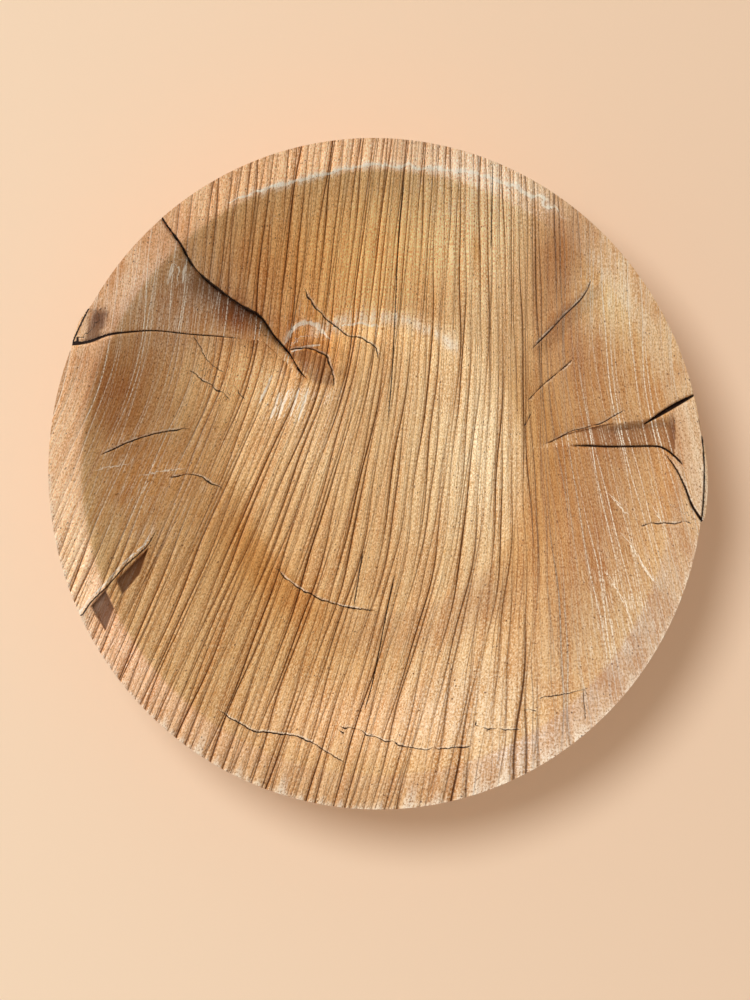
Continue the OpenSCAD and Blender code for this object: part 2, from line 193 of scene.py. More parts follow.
FLOOR_CREST = [(122.0, 0.03), (111.2, 0.03), (99.4, 0.02), (83.7, 0.01), (66.3, -0.02), (52.0, -0.03)]
LIP_CREST = [(122.0, 0.88), (109.0, 0.83), (100.9, 0.83), (90.2, 0.85), (79.8, 0.86), (70.5, 0.90), (60.8, 0.93),
             (50.6, 0.93)]


def smooth_line(places, steps=6):
    """Plan points of a curve through the places, rounded between them."""
    p = np.array([place(a, r) for a, r in places])
    ends = np.vstack([2 * p[0] - p[1], p, 2 * p[-1] - p[-2]])
    out = []
    for k in range(1, len(ends) - 2):
        a, b, c, d = ends[k - 1:k + 3]
        for t in np.arange(steps) / steps:
            out.append(0.5 * (2 * b + (c - a) * t + (2 * a - 5 * b + 4 * c - d) * t * t
                              + (3 * b - a - 3 * c + d) * t ** 3))
    return np.array(out + [p[-1]])


def line_distance(x, y, line, far=12.0):
    """Distance to a curve, which side a point lies on, and how far along it: 0 at its start, 1 at its end."""
    dist = np.full(x.shape, far)
    side = np.zeros(x.shape)
    along = np.zeros(x.shape)
    lo, hi = line.min(axis=0) - far, line.max(axis=0) + far
    near = np.nonzero((x > lo[0]) & (x < hi[0]) & (y > lo[1]) & (y < hi[1]))[0]
    px, py = x[near], y[near]
    best, best_side, best_along = np.full(len(near), far), np.zeros(len(near)), np.zeros(len(near))
    for k in range(len(line) - 1):
        a, b = line[k], line[k + 1] - line[k]
        t = np.clip(((px - a[0]) * b[0] + (py - a[1]) * b[1]) / (b @ b), 0, 1)
        dx, dy = px - a[0] - t * b[0], py - a[1] - t * b[1]
        d = np.hypot(dx, dy)
        closer = d < best
        best = np.where(closer, d, best)
        best_side = np.where(closer, np.sign(b[0] * dy - b[1] * dx), best_side)
        best_along = np.where(closer, (k + t) / (len(line) - 1), best_along)
    dist[near], side[near], along[near] = best, best_side, best_along
    return dist, side, along


def inside(x, y, places):
    """Distance inside the outline through the places, negative outside."""
    p = np.array([place(a, r) for a, r in places])
    ring = np.vstack([p, p[:1]])
    turn = np.sign(sum(ring[k, 0] * ring[k + 1, 1] - ring[k + 1, 0] * ring[k, 1] for k in range(len(p))))
    depth = np.full(x.shape, 99.0)
    for a, b in zip(ring[:-1], ring[1:]):
        e = (b - a) / np.linalg.norm(b - a)
        depth = np.minimum(depth, turn * (e[0] * (y - a[1]) - e[1] * (x - a[0])))
    return depth


def angle_on(line, reach):
    """Angle at which a fold's edge crosses each reach."""
    angle, at = place_of(line[:, 0], line[:, 1])
    order = np.argsort(at)
    return np.interp(reach, at[order], angle[order])


def fold_share(angle, reach, deep, shallow):
    """0 at a fold's deep edge, 1 at its shallow one, negative or above 1 outside it."""
    start, end = angle_on(deep, reach), angle_on(shallow, reach)
    return (angle - start) / (end - start), np.abs(np.radians(1) * (FLOOR_R + reach * WALL_W))


# Creases: (line, height, half width, crack depth, crack half width).
CREASES = [
    ([(131.0, 0.03), (127.0, 0.0), (122.6, -0.05), (118.6, -0.12), (118.7, -0.15), (121.0, -0.24),
      (124.6, -0.30)], 0.0, 1.0, 1.0, 0.35),
    ([(128.0, 0.06), (122.0, 0.02), (116.0, -0.05), (113.5, -0.14), (115.0, -0.26)], 1.3, 2.2, 0.0, 1.0),
    ([(113.9, 0.29), (114.0, 0.22), (112.3, 0.09), (108.1, -0.02), (105.4, -0.07), (100.4, -0.09), (94.5, -0.15),
      (91.9, -0.23)], 0.8, 1.5, 0.55, 0.28),
    ([(177.2, 0.75), (175.4, 0.66), (173.8, 0.59), (171.5, 0.47), (169.8, 0.36), (168.9, 0.28)],
     1.1, 2.0, 0.5, 0.3),
    ([(-177.3, 0.41), (-177.7, 0.30), (-177.0, 0.22), (-174.4, 0.16), (-171.5, 0.10)], 1.1, 1.9, 0.6, 0.3),
    (UPPER_FOLD, 1.2, 2.0, 0.5, 0.3),
    ([(-126.8, 0.76), (-117.5, 0.76), (-113.3, 0.73), (-106.5, 0.70), (-101.1, 0.74), (-95.7, 0.79)],
     0.3, 1.6, 0.6, 0.25),
    ([(-139.3, 0.03), (-131.1, 0.03), (-120.2, 0.02), (-110.9, 0.01), (-102.8, 0.0), (-89.7, 0.01)],
     0.0, 1.0, 0.5, 0.22),
]

# Thin cracks, each at most a third of a millimetre across: (line, depth).
CRACKS = [
    ([(145.1, 0.47), (147.2, 0.38), (149.6, 0.30), (149.7, 0.21)], 0.3),
    ([(153.5, 0.40), (154.2, 0.31), (155.5, 0.22), (157.3, 0.12)], 0.4),
    ([(152.4, 0.16), (155.1, 0.05)], 0.3),
    ([(-100.3, 0.60), (-95.0, 0.61), (-89.2, 0.65), (-81.8, 0.71), (-74.3, 0.74), (-70.3, 0.76)], 0.4),
    ([(-68.3, 0.64), (-68.1, 0.69), (-59.7, 0.80)], 0.35),
    ([(-58.3, 0.71), (-55.6, 0.75)], 0.35),
    ([(-54.2, 0.70), (-51.3, 0.74), (-46.0, 0.82), (-45.0, 0.83)], 0.3),
    ([(-45.9, 0.82), (-49.1, 0.95)], 0.3),
    ([(29.4, 0.43), (28.3, 0.34), (26.7, 0.20), (24.0, 0.08)], 0.45),
    ([(19.9, 0.08), (15.8, 0.02)], 0.35),
    ([(-11.4, 0.67), (-9.9, 0.77), (-8.4, 0.97)], 0.4),
    ([(7.4, 0.09), (8.9, 0.17), (10.9, 0.28), (11.5, 0.43), (14.2, 0.63)], 0.4),
]
# Long dark grooves that follow the fibres: (line, depth).
GROOVES = [
    ([(84.3, 0.86), (85.2, 0.48), (85.6, -0.03), (85.0, -0.33), (85.9, -0.62)], 0.4),
    ([(69.3, 1.04), (61.9, 0.51)], 0.3),
    ([(-104.9, -0.33), (-102.8, 0.00)], 0.45),
    ([(-84.0, -0.23), (-89.4, -0.00), (-92.6, 0.35), (-94.3, 0.53)], 0.45),
    ([(22.1, 0.15), (-14.9, 0.11)], 0.16),
]
# Painted highlights: bright lines on the crests of ribs and of the sheet's rise beside the pocket.
SHINES = [
    [(145.1, -0.09), (159.8, -0.11)],
    [(141.6, -0.12), (158.4, -0.15)],
    [(138.4, -0.16), (153.5, -0.21)],
    [(135.3, -0.20), (153.6, -0.26)],
    [(141.8, 0.00), (154.7, -0.02)],
    [(130.2, 0.01), (125.7, -0.01), (118.3, -0.05)],
    [(107.6, 0.00), (99.7, -0.01), (91.8, -0.04)],
    [(135.1, 0.79), (139.3, 0.73)],
    [(132.4, 0.76), (137.0, 0.68)],
]
# Soft wrinkles pressed into the walls: (line, height, half width).
WRINKLES = [
    ([(179.9, 0.78), (179.2, 0.68), (178.5, 0.55)], 0.6, 1.4),
    ([(-178.4, 0.57), (-179.4, 0.41), (179.9, 0.26)], 0.6, 1.4),
    ([(-4.8, 0.45), (-7.5, 0.53), (-10.6, 0.62)], 0.6, 1.2),
    ([(-12.6, 0.54), (-16.2, 0.66), (-19.9, 0.79), (-22.8, 0.95)], 0.7, 1.3),
    ([(-5.7, 0.70), (-10.8, 0.82)], 0.6, 1.1),
    ([(-21.8, 0.50), (-26.9, 0.71), (-31.7, 0.89)], 0.6, 1.3),
    ([(-18.2, 0.71), (-21.7, 0.88)], 0.6, 1.1),
]


class Numbers:
    """The arithmetic of the rib pattern on arrays. RibNodes below does the same with shader nodes."""
    sin, most, whole, exp = np.sin, np.maximum, np.floor, np.exp


TURN = 2 * math.pi
# Steps whose multiples spread evenly between whole numbers: they tell one rib from the next.
GOLDEN, SECOND, THIRD = 0.6180340, 0.7548777, 0.5698403
# Grooves between the ribs, and the finer ones on them: pitch across the fibres, wander, length of a
# wave, slack.
RIB_GROOVES = (1.9, 0.46, 74.0, 0.75)
THREAD_GROOVES = (0.95, 0.22, 41.0, 0.85)


def spread(rib, step, lib):
    """A number from 0 to 1 for each rib, in no visible order."""
    t = rib * step
    return t - lib.whole(t)


def grooves(u, v, lib, kind, line_w, trough_w):
    """Depth of narrow lines and of the broad troughs round them, which wander, meet and fade."""
    pitch, wander, run, slack = kind
    cell = lib.whole(u * (1 / pitch))
    line, trough = None, None
    for step in (-1, 0, 1):
        rib = cell + step
        a, b, c = spread(rib, GOLDEN, lib), spread(rib, SECOND, lib), spread(rib, THIRD, lib)
        swing = lib.sin(v * (TURN / run) + b * TURN) + lib.sin(v * (TURN / run * 2.3) + c * TURN) * 0.4
        gap = u - (rib + (a - 0.5) * slack + 0.5) * pitch - swing * wander
        depth = (lib.sin(v * (TURN / run * 0.8) + (a + c) * TURN) * 0.34 + 0.66) * (b * 0.6 + 0.4)
        thin = lib.exp(gap * gap * (-1 / line_w ** 2)) * depth
        wide = lib.exp(gap * gap * (-1 / trough_w ** 2)) * depth
        line = thin if line is None else lib.most(line, thin)
        trough = wide if trough is None else lib.most(trough, wide)
    return line, trough


def rib_height(u, v, lib):
    """Depth below the ribs' crests, from 0 to 1, in the shell's own mesh."""
    line, trough = grooves(u, v, lib, RIB_GROOVES, 0.34, 0.74)
    return line * 0.5 + trough * 0.5


def rib_share(x, y, reach):
    """How strongly the ribs stand out: less on the left and right walls, more at the near left."""
    side = step01((np.abs(x) / RIM_R - 0.42) / 0.3)
    near_left = step01((-y / RIM_R - 0.05) / 0.25) * step01((-x / RIM_R + 0.55) / 0.3)
    return np.clip(1 - 0.62 * side * (1 - near_left), 0, 1)


class Marks:
    """Dark lines near each point: the signed distance from the nearest one, and its half width there."""

    def __init__(self, shape):
        self.gap, self.half = np.full(shape, 9.0), np.zeros(shape)

    def add(self, gap, side, half):
        closer = (gap - half < np.abs(self.gap) - self.half) & (half > 0)
        self.gap = np.where(closer, gap * np.where(side < 0, -1, 1), self.gap)
        self.half = np.where(closer, half, self.half)


RIB_H = 0.72
LAP_STEP = 0.9
LEFT_DEPTH, RIGHT_DEPTH, SMALL_DEPTH = 4.0, 2.6, 2.2
FLAP_REACH = 6.0
UNDER_LAYER = 1.2
LEAST_T = 0.45
OUTER_SHARE = 0.8


def proud_at(angle):
    """How far the rim stands out past its plain curve, where a torn under layer shows."""
    right = step01((angle + 8.6) / 1.8) * step01((11.0 - angle) / 12)
    left = np.sin(np.clip((angle - 150) / 8, 0, 1) * math.pi)
    return UNDER_LAYER * np.maximum(right, 0.8 * left)


def soft_dip(angle, reach, deep, shallow, depth):
    """Dip of the whole sheet below a fold, fading under the laps on both sides."""
    share, per_degree = fold_share(angle, reach, deep, shallow)
    width = np.abs(angle_on(shallow, reach) - angle_on(deep, reach)) * per_degree
    past = np.where(share < 0, -share, share - 1) * width / FLAP_REACH
    fade = 1 - step01(past)
    between = depth * np.clip(1 - share, 0, 1) ** 1.4 + LAP_STEP
    return np.where(share < 0, (depth + LAP_STEP) * fade, np.where(share < 1, between, LAP_STEP * fade))


def left_depth(reach):
    return LEFT_DEPTH * hump((reach - 0.46) / 0.66)


def right_depth(reach):
    return RIGHT_DEPTH * hump((reach - 0.6) / 0.55)


def left_window(angle, reach):
    return step01((reach + 0.12) / 0.24) * step01((angle - 110) / 12) * step01((172 - angle) / 8)


def right_window(angle, reach):
    return (step01((reach - 0.04) / 0.15) * step01((1 - reach) / 0.12) * step01((24 - angle) / 6)
            * step01((angle + 8) / 8))


LINES = {name: smooth_line(places) for name, places in {
    "left_deep": LEFT_DEEP, "left_shallow": LEFT_SHALLOW, "right_deep": RIGHT_DEEP,
    "right_shallow": RIGHT_SHALLOW, "lip_edge": LIP_EDGE, "tear": TEAR, "small_edge": SMALL_EDGE,
    "bulge": BULGE, "floor_crest": FLOOR_CREST, "lip_crest": LIP_CREST, "upper_fold": UPPER_FOLD,
}.items()}


# Crests with a painted highlight: line, half width of the painted highlight, half width of the bright line on
# it.
CRESTS = (("bulge", 0.6, 0.45), ("floor_crest", 1.6, 0.0), ("lip_crest", 0.8, 0.32))


def outer_z(angle, reach):
    """Height of the outside: the inside's form a sheet lower, with the folds' dips, flat on the table."""
    r = FLOOR_R + reach * WALL_W
    dip = (soft_dip(angle, reach, LINES["left_deep"], LINES["left_shallow"], left_depth(reach))
           * left_window(angle, reach)
           + soft_dip(angle, reach, LINES["right_deep"], LINES["right_shallow"], right_depth(reach))
           * right_window(angle, reach))
    return np.maximum(0, form_z(r) - SHEET_T * np.sqrt(1 + form_slope(r) ** 2) - OUTER_SHARE * dip)


def inner_shape(x, y, angle, reach, wander):
    """Height of the inside and what the leaf's colour needs to know about each point."""
    r = FLOOR_R + reach * WALL_W
    u = fibre_of(x, y)
    z = form_z(r)
    dark, shade, painted_highlight = [np.zeros(x.shape) for _ in range(3)]
    edges, cracks, glints = Marks(x.shape), Marks(x.shape), Marks(x.shape)
    rib = rib_share(x, y, reach)

    # The large fold at the upper left: the far layer ends in a free edge over a sunken triangle.
    share, _ = fold_share(angle, reach, LINES["left_deep"], LINES["left_shallow"])
    window = left_window(angle, reach)
    sunk = (share > 0) & (share < 1) & (window > 0)
    z -= np.where(sunk, (left_depth(reach) * np.clip(1 - share, 0, 1) ** 1.4 + LAP_STEP) * window, 0)
    rib *= np.where(sunk, 0.2, 1)
    # Painted shade under the free edge, in blotches, over a real dip of the sheet.
    blotch = 0.75 + 0.45 * Field(11)(x / 9.0, y / 7.0)
    under = bell(share - 0.04, 0.3) * step01((reach - 0.02) / 0.12) * step01((0.84 - reach) / 0.25) * blotch
    under = np.where(sunk, np.clip(under, 0, 1), 0)
    shade = np.maximum(shade, under)
    z -= 0.7 * under
    gap, side, _ = line_distance(x, y, LINES["left_deep"])
    free = (share <= 0) & (reach > -0.15) & (reach < 1.04)
    curl = 0.45 * np.exp(-gap / 2.5) - 0.5 * np.clip(1 - gap / 0.5, 0, 1) ** 2
    z += np.where(free, curl, 0) * step01(reach / 0.2)
    slot = np.where(~free, bell(gap, 0.45), 0) * step01((reach + 0.2) / 0.1)
    z -= 1.3 * slot
    edges.add(gap, side, (0.26 + 0.14 * wander) * step01((reach + 0.2) / 0.12))
    gap, side, _ = line_distance(x, y, LINES["left_shallow"])
    edge = step01((reach - 0.16) / 0.25)
    slot = bell(gap, 0.3 + 0.35 * step01((reach - 0.6) / 0.4)) * edge * np.where(sunk, 0.6, 1)
    z -= 1.0 * slot
    z += 0.3 * np.where(sunk, bell(gap, 1.0), 0) * edge
    edges.add(gap, side, (0.13 + 0.26 * step01((reach - 0.6) / 0.4)) * edge)

    # The fold at the right: a sunken wedge that the lip bridges.
    share, _ = fold_share(angle, reach, LINES["right_deep"], LINES["right_shallow"])
    window = right_window(angle, reach) * step01((0.93 - reach) / 0.03)
    limit = np.interp(angle, [LIP_INNER[0][0], LIP_INNER[1][0]], [LIP_INNER[0][1], LIP_INNER[1][1]])
    sunk_right = (share > 0) & (share < 1) & (reach < limit) & (window > 0)
    soft = step01((reach - 0.4) / 0.15)
    shut = (1 - soft) + soft * step01(share / 0.4)
    dip = right_depth(reach) * np.clip(1 - share, 0, 1) ** (1.4 - 0.8 * soft) + LAP_STEP
    z -= np.where(sunk_right, dip * shut * window, 0)
    # Painted shade in the sunken wedge, darker toward its deep edge and by the lip.
    hollow = (np.clip(1 - share, 0, 1) * 0.4 + 0.3) * shut + 0.35 * step01((reach - limit + 0.06) / 0.06)
    shade = np.maximum(shade, np.where(sunk_right, hollow, 0) * step01((reach - 0.2) / 0.3))
    rib *= np.where(sunk_right, 0.2, 1)
    gap, side, _ = line_distance(x, y, LINES["right_shallow"])
    slot = bell(gap, 0.3) * step01((reach - 0.2) / 0.1)
    z -= 0.9 * slot
    edges.add(gap, side, 0.24 * step01((reach - 0.24) / 0.12) * step01((0.89 - reach) / 0.03))
    gap, side, along = line_distance(x, y, LINES["lip_edge"])
    slot = bell(gap, 0.32)
    beyond = np.where(angle > LIP_EDGE[0][0], reach > limit, side > 0)
    bridge = beyond & (angle > -8) & (angle < 13) & (reach > 0.8)
    z += 0.45 * bridge
    painted_highlight = np.maximum(painted_highlight, 0.3 * (bridge & (angle > -6)))
    z -= 0.9 * slot
    cracks.add(gap, side, 0.1 + 0.22 * along)
    gap, side, along = line_distance(x, y, LINES["tear"])
    slot = bell(gap, 0.16 + 0.4 * np.sin(np.clip(along, 0, 1) * math.pi)) * (along > 0.001)
    z -= 2.4 * slot
    edges.add(gap, side, (0.1 + 0.46 * np.sin(np.clip(along, 0, 1) * math.pi)) * (along > 0.001))

    # The small fold at the lower left: a lit edge over two gaps.
    # The two gaps are sunk and carry painted shade (Dark); the corner of the large fold is only made darker.
    for hole in (OUTER_HOLE, INNER_HOLE):
        deep = step01(inside(x, y, hole) / 0.35 + 0.5)
        z -= SMALL_DEPTH * deep
        dark = np.maximum(dark, deep)
        rib *= 1 - 0.8 * deep
    dark = np.maximum(dark, 0.8 * step01(inside(x, y, CORNER) / 0.5 + 0.5))
    # Painted shade inside the pocket's arc and beside the upper right fold.
    shade = np.maximum(shade, 0.5 * step01(inside(x, y, POCKET) / 0.8 + 0.4))
    gap, side, along = line_distance(x, y, LINES["upper_fold"])
    off = np.where(side > 0, gap, 2.5 * gap)
    shade = np.maximum(shade, 0.55 * bell(off, 2.2) * np.sin(math.pi * along))
    gap, side, along = line_distance(x, y, LINES["small_edge"])
    z += 0.5 * bell(gap, 1.2) * step01((reach - 0.42) / 0.15)
    glints.add(np.abs(gap - 0.5 * side), side, 0.18 * step01((reach - 0.45) / 0.1))
    edges.add(np.abs(gap + 0.45 * side), np.sign(gap * side + 0.45), 0.14 * step01((reach - 0.45) / 0.1))

    # Creases, cracks, long grooves and wrinkles.
    for places, height, half, crack, crack_half in CREASES:
        gap, side, along = line_distance(x + 0.25 * wander, y + 0.25 * wander, smooth_line(places))
        ends = step01(along / 0.12) * step01((1 - along) / 0.12)
        z += (height * hump(gap / (2 * half)) - crack * bell(gap, crack_half)) * ends
        if crack > 0:
            cracks.add(gap, side, (0.1 + 0.12 * crack) * (0.75 + 0.35 * wander) * ends)
    for places, depth in CRACKS:
        gap, side, along = line_distance(x + 0.35 * wander, y + 0.35 * wander, smooth_line(places))
        ends = step01(along / 0.1) * step01((1 - along) / 0.1)
        z -= depth * bell(gap, 0.25) * ends
        cracks.add(gap, side, 0.34 * depth * (0.75 + 0.4 * wander) * ends)
    for places, depth in GROOVES:
        gap, side, along = line_distance(x, y, smooth_line(places))
        ends = step01(along / 0.15) * step01((1 - along) / 0.15)
        z -= depth * bell(gap, 0.3) * ends
        edges.add(gap, side, 0.3 * depth * ends)
    for places, height, half in WRINKLES:
        gap, side, along = line_distance(x, y, smooth_line(places))
        z += height * hump(gap / (2 * half)) * np.sin(math.pi * along)
        glints.add(np.abs(gap + 0.35 * side), side, 0.2 * height * np.sin(math.pi * along))
    for places in SHINES:
        gap, side, along = line_distance(x + 0.3 * wander, y + 0.3 * wander, smooth_line(places))
        glints.add(gap, side, 0.34 * np.sqrt(np.sin(math.pi * np.clip(along, 0, 1))))
    # Painted highlights along the crests, on a slight real rise.
    for name, width, line_half in CRESTS:
        gap, side, along = line_distance(x + 0.7 * wander, y + 0.7 * wander, LINES[name])
        ends = step01(along / 0.12) * step01((1 - along) / 0.12)
        painted_highlight = np.maximum(painted_highlight, bell(gap, width) * ends)
        z += 0.12 * bell(gap, width) * ends
        glints.add(gap, side, line_half * ends)
    # Painted highlight, ragged, along the rim's near half.
    painted_highlight = np.maximum(painted_highlight, 0.65 * bell((1 - reach) * WALL_W, 0.7) * step01((20 - angle) / 10))

    z -= RIB_H * rib * rib_height(u, y, Numbers)
    # Past the plain rim lies the torn under layer, a little lower.
    past = step01((reach - 1.0) * WALL_W / 0.15)
    z = z * (1 - past) + (form_z(np.minimum(r, RIM_R)) - 0.9) * past
    rim_gap = (reach - 1.004) * WALL_W
    edges.add(np.abs(rim_gap), np.sign(rim_gap), 0.2 * (proud_at(angle) > 0.25))
    return z, u, {"Dark": dark, "Ribs": rib, "Shade": shade, "PaintedHighlight": painted_highlight, "EdgeGap": edges.gap,
                  "EdgeHalf": edges.half, "CrackGap": cracks.gap, "CrackHalf": cracks.half,
                  "GlintGap": glints.gap, "GlintHalf": glints.half}


# The shell: a square lattice wrapped onto the round plan, once for the inside and once for the outside.
CELLS = 520
SHARP_DEG = 48
TRIANGLES = 190_000


def disc_lattice(n):
    """Angle and share of the radius for (n + 1)^2 points that wrap a square onto a disc."""
    a, b = np.meshgrid(np.linspace(-1, 1, n + 1), np.linspace(-1, 1, n + 1))
    wide = np.abs(a) > np.abs(b)
    safe_a, safe_b = np.where(a == 0, 1, a), np.where(b == 0, 1, b)
    radius = np.where(wide, a, b)
    angle = np.where(wide, 45 * b / safe_a, 90 - 45 * a / safe_b)
    angle = np.where(radius < 0, angle + 180, angle)
    angle = (angle + 180) % 360 - 180
    return angle.ravel(), np.abs(radius).ravel()


def lattice_faces(n):
    k = np.arange((n + 1) * (n + 1)).reshape(n + 1, n + 1)
    return np.stack([k[:-1, :-1], k[:-1, 1:], k[1:, 1:], k[1:, :-1]], axis=-1).reshape(-1, 4)


def lattice_ring(n):
    """The lattice's border, anticlockwise from its first corner."""
    k = np.arange((n + 1) * (n + 1)).reshape(n + 1, n + 1)
    return np.concatenate([k[0, :-1], k[:-1, -1], k[-1, :0:-1], k[:0:-1, 0]])


def shell_mesh(name):
    """Closed mesh of the bowl in metres: inside, outside and the edge between them."""
    angle, share = disc_lattice(CELLS)
    out = RIM_R + proud_at(angle) * step01((share - 0.9) / 0.1)
    reach = (share * out - FLOOR_R) / WALL_W
    x, y = place(angle, reach)
    wander = Field(5)(x / 2.2, y / 2.2) + 0.5 * Field(6)(x / 0.9, y / 0.9)
    top = inner_shape(x, y, angle, reach, wander)[0]
    bottom = outer_z(angle, np.minimum(reach, 1))
    bottom = np.minimum(bottom, np.maximum(top - LEAST_T, 0))
    count = len(x)
    points = np.vstack([np.column_stack([x, y, top]), np.column_stack([x, y, bottom])]) * MM
    faces = lattice_faces(CELLS)
    ring = lattice_ring(CELLS)
    after = np.roll(ring, -1)
    wall = np.column_stack([after, ring, ring + count, after + count])
    quads = np.vstack([faces, faces[:, ::-1] + count, wall])
    mesh = bpy.data.meshes.new(name)
    mesh.vertices.add(len(points))
    mesh.vertices.foreach_set("co", points.ravel())
    mesh.loops.add(quads.size)
    mesh.loops.foreach_set("vertex_index", quads.ravel())
    mesh.polygons.add(len(quads))
    mesh.polygons.foreach_set("loop_start", np.arange(len(quads)) * 4)
    mesh.update(calc_edges=True)
    mesh.validate()
    return mesh


def thin_out(piece, triangles):
    """Thins the mesh where it is plain, keeping ribs, folds and cracks."""
    piece.data.calc_loop_triangles()
    thin = piece.modifiers.new("thin", "DECIMATE")
    thin.ratio = triangles / len(piece.data.loop_triangles)
    thin.use_collapse_triangulate = True
    done = bpy.data.meshes.new_from_object(piece.evaluated_get(bpy.context.evaluated_depsgraph_get()))
    piece.modifiers.clear()
    old = piece.data
    piece.data = done
    bpy.data.meshes.remove(old)
    done.name = piece.name


def paint_shell(piece):
    """Stores on the final mesh the fibres' coordinates and the masks that the leaf's material reads."""
    mesh = piece.data
    points = np.empty(len(mesh.vertices) * 3)
    mesh.vertices.foreach_get("co", points)
    x, y, _ = points.reshape(-1, 3).T / MM
    angle, reach = place_of(x, y)
    wander = Field(5)(x / 2.2, y / 2.2) + 0.5 * Field(6)(x / 0.9, y / 0.9)
    _, u, masks = inner_shape(x, y, angle, reach, wander)
    facing = np.empty(len(mesh.vertices) * 3)
    mesh.vertices.foreach_get("normal", facing)
    is_inside = facing[2::3] > 0
    corner_vertex = np.empty(len(mesh.loops), dtype=int)
    mesh.loops.foreach_get("vertex_index", corner_vertex)
    fibres = mesh.uv_layers.new(name="Fibres")
    fibres.uv.foreach_set("vector", np.column_stack([u, y])[corner_vertex].ravel())
    for name in ("Dark", "Shade", "PaintedHighlight", "EdgeHalf", "CrackHalf", "GlintHalf"):
        masks[name] = masks[name] * is_inside
    for name, values in masks.items():
        layer = mesh.attributes.new(name, "FLOAT", "POINT")
        layer.data.foreach_set("value", np.asarray(values, dtype=np.float32))
    mesh.polygons.foreach_set("use_smooth", np.ones(len(mesh.polygons), dtype=bool))
    mesh.set_sharp_from_angle(angle=math.radians(SHARP_DEG))
    return x, y, angle, reach


# Shader nodes, written as sums: an Expr stands for a socket, and its arithmetic makes Math nodes.
def linear(*srgb):
    """Linear colour of an sRGB one given from 0 to 255."""
    shares = [c / 255 for c in srgb]
    return tuple(s / 12.92 if s <= 0.04045 else ((s + 0.055) / 1.055) ** 2.4 for s in shares) + (1.0,)


class Expr:
    def __init__(self, tree, socket):
        self.tree, self.socket = tree, socket

    def math(self, kind, *others, clamp=False):
        node = self.tree.nodes.new("ShaderNodeMath")
        node.operation, node.use_clamp = kind, clamp
        for slot, value in zip(node.inputs, (self, *others)):
            if isinstance(value, Expr):
                self.tree.links.new(value.socket, slot)
            else:
                slot.default_value = value
        return Expr(self.tree, node.outputs[0])

    def __add__(self, other):
        return self.math("ADD", other)

    def __sub__(self, other):
        return self.math("SUBTRACT", other)

    def __mul__(self, other):
        return self.math("MULTIPLY", other)

    def clip(self):
        return self.math("ADD", 0.0, clamp=True)

    def flip(self):
        """1 minus the value."""
        return (self * -1.0) + 1.0

    def band(self, low, high, out_low=0.0, out_high=1.0):
        """Soft step from out_low at low to out_high at high."""
        node = self.tree.nodes.new("ShaderNodeMapRange")
        node.interpolation_type = "SMOOTHSTEP"
        self.tree.links.new(self.socket, node.inputs["Value"])
        limits = {"From Min": low, "From Max": high, "To Min": out_low, "To Max": out_high}
        for name, value in limits.items():
            node.inputs[name].default_value = value
        return Expr(self.tree, node.outputs["Result"])


class RibNodes:
    """The arithmetic of the rib pattern on shader sockets."""
    sin = staticmethod(lambda a: a.math("SINE"))
    most = staticmethod(lambda a, b: a.math("MAXIMUM", b))
    whole = staticmethod(lambda a: a.math("FLOOR"))
    exp = staticmethod(lambda a: a.math("EXPONENT"))


class Leaf:
    """Builds the leaf's material."""

    def __init__(self, name):
        self.material = bpy.data.materials.new(name)
        self.material.use_nodes = True
        self.tree = self.material.node_tree
        self.shader = self.tree.nodes["Principled BSDF"]

    def attribute(self, name):
        node = self.tree.nodes.new("ShaderNodeAttribute")
        node.attribute_name = name
        return Expr(self.tree, node.outputs["Fac"])

    def vector(self, x, y, z=0.0):
        node = self.tree.nodes.new("ShaderNodeCombineXYZ")
        for slot, value in zip(node.inputs, (x, y, z)):
            if isinstance(value, Expr):
                self.tree.links.new(value.socket, slot)
            else:
                slot.default_value = value
        return Expr(self.tree, node.outputs[0])

    def noise(self, vector, scale=1.0, detail=2.0, rough=0.5):
        node = self.tree.nodes.new("ShaderNodeTexNoise")
        node.inputs["Scale"].default_value = scale
        node.inputs["Detail"].default_value = detail
        node.inputs["Roughness"].default_value = rough
        self.tree.links.new(vector.socket, node.inputs["Vector"])
        return Expr(self.tree, node.outputs["Fac"])

    def specks(self, vector, radius, share):
        """Small round marks: 1 inside a mark, in that share of the cells."""
        node = self.tree.nodes.new("ShaderNodeTexVoronoi")
        node.inputs["Scale"].default_value = 1.0
        self.tree.links.new(vector.socket, node.inputs["Vector"])
        split = self.tree.nodes.new("ShaderNodeSeparateColor")
        self.tree.links.new(node.outputs["Color"], split.inputs[0])
        pick = Expr(self.tree, split.outputs[0])
        size = Expr(self.tree, split.outputs[1]).band(0.0, 1.0, 0.5, 1.2)
        near = (Expr(self.tree, node.outputs["Distance"]) - size * radius).band(-0.02, 0.05, 1.0, 0.0)
        return near * pick.math("LESS_THAN", share)

    def cut(self, name, ragged):
        """1 along the dark lines whose distance and half width the mesh stores under that name."""
        gap = self.attribute(name + "Gap") + ragged
        half = self.attribute(name + "Half")
        return (gap.math("ABSOLUTE") - half).band(-0.04, 0.1, 1.0, 0.0) * half.band(0.01, 0.09)

    def lit_side(self, name, ragged):
        """1 along the pale side of the dark lines, a little off their upper left."""
        gap, half = self.attribute(name + "Gap"), self.attribute(name + "Half")
        off = (gap - half + ragged - 0.28).math("ABSOLUTE")
        return off.band(0.08, 0.26, 1.0, 0.0) * half.band(0.06, 0.16)

    def mix(self, share, a, b, kind="MIX"):
        node = self.tree.nodes.new("ShaderNodeMix")
        node.data_type, node.blend_type = "RGBA", kind
        for slot, value in ((node.inputs[0], share), (node.inputs[6], a), (node.inputs[7], b)):
            if isinstance(value, Expr):
                self.tree.links.new(value.socket, slot)
            else:
                slot.default_value = value
        return Expr(self.tree, node.outputs[2])

    def bump(self, height, distance, strength, normal=None):
        node = self.tree.nodes.new("ShaderNodeBump")
        node.inputs["Strength"].default_value = strength
        node.inputs["Distance"].default_value = distance
        self.tree.links.new(height.socket, node.inputs["Height"])
        if normal:
            self.tree.links.new(normal.socket, node.inputs["Normal"])
        return Expr(self.tree, node.outputs[0])


